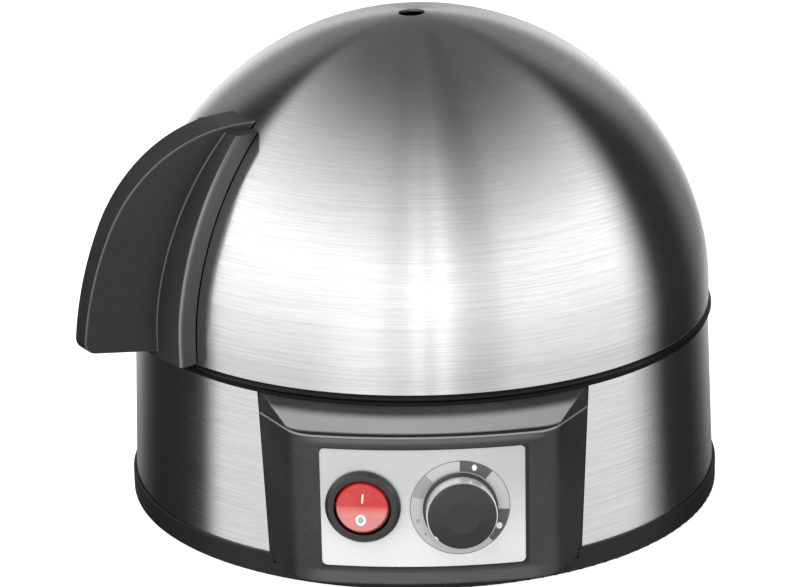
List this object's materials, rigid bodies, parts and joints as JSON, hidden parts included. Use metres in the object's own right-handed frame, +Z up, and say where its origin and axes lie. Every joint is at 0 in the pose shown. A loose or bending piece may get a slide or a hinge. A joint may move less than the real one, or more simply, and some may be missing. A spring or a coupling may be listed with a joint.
{
  "type": "electric egg boiler",
  "caption": "Round electric egg boiler with a brushed steel dome lid, side handle, lift-out egg tray, heated water dish and a front panel with a rocker switch and dial.",
  "frame": {"origin": "on the table surface, on the axis of the round base and lid", "axes": "+Z up, the control panel faces -Y, the lid's handle is on the -X side, turned towards the front"},
  "size_m": [0.2083, 0.215, 0.1638],
  "materials": {
    "black_moulding": "fine-grained black moulding",
    "brushed_steel": "brushed round the body",
    "silver_plate": "fine satin plate",
    "switch_black": "semi-gloss black",
    "switch_red": "glossy translucent red",
    "knob_black": "satin black",
    "knob_chrome": "bright plated",
    "plated_steel": "zinc plated",
    "rubber": "soft matt rubber",
    "silicone": "red-brown silicone",
    "dish_steel": "spun and polished",
    "tray_steel": "pressed, bright",
    "heater_sheath": "annealed sheath",
    "spreader": "cast, plain",
    "ceramic": "unglazed white",
    "brass": "plain",
    "bakelite": "dark moulded",
    "nylon": "natural nylon",
    "glass_sleeve": "woven glass sleeve"
  },
  "bodies": {
    "base": {"base_tray": "black_moulding", "rubber_feet": "rubber", "tray_screws": "plated_steel", "steel_band": "brushed_steel", "base_housing": "black_moulding", "rim_collar": "black_moulding", "panel_housing": "black_moulding", "panel_screws": "plated_steel", "fascia_plate": "silver_plate", "switch_body": "switch_black", "switch_terminals": "brass", "regulator_body": "bakelite", "regulator_nut": "plated_steel", "regulator_terminals": "brass", "heating_dish": "dish_steel", "dish_seal": "silicone", "dish_nuts": "plated_steel", "heat_spreader": "spreader", "heating_element": "heater_sheath", "heater_insulators": "ceramic", "heater_pins": "plated_steel", "thermal_cutout": "bakelite", "cutout_strap": "plated_steel", "strap_spacers": "plated_steel", "strap_screws": "plated_steel", "thermal_fuse": "glass_sleeve", "fuse_clip": "plated_steel", "terminal_block": "nylon", "terminal_screws": "brass", "buzzer": "bakelite", "cord_clamp": "nylon", "floor_screws": "plated_steel", "cord_gland": "black_moulding", "gland_nut": "nylon"},
    "lid": {"lid_dome": "brushed_steel", "lid_handle": "black_moulding", "handle_screws": "plated_steel", "handle_washers": "plated_steel"},
    "tray": {"egg_tray": "tray_steel", "tray_grips": "black_moulding", "grip_rivets": "plated_steel"},
    "rocker": {"switch_rocker": "switch_red"},
    "knob": {"knob_core": "knob_black", "knob_ring": "knob_chrome", "control_shaft": "plated_steel"}
  },
  "joints": [
    {"name": "lid_lift", "type": "slide", "parent": "base", "child": "lid", "axis": [0, 0, 1], "range_m": [0, 0.2]},
    {"name": "tray_lift", "type": "slide", "parent": "base", "child": "tray", "axis": [0, 0, 1], "range_m": [0, 0.08]},
    {"name": "rocker_tilt", "type": "hinge", "parent": "base", "child": "rocker", "pos_m": [-0.01886, -0.10337, 0.0331], "axis": [0.9929, -0.119, 0], "range_deg": [0, 18]},
    {"name": "knob_turn", "type": "hinge", "parent": "base", "child": "knob", "pos_m": [0.0108, -0.10533, 0.0324], "axis": [-0.0676, 0.9977, 0], "range_deg": [0, 270]}
  ],
  "couplings": [
    {"joint": "tray_lift", "follows": "lid_lift", "ratio": 0.4}
  ]
}
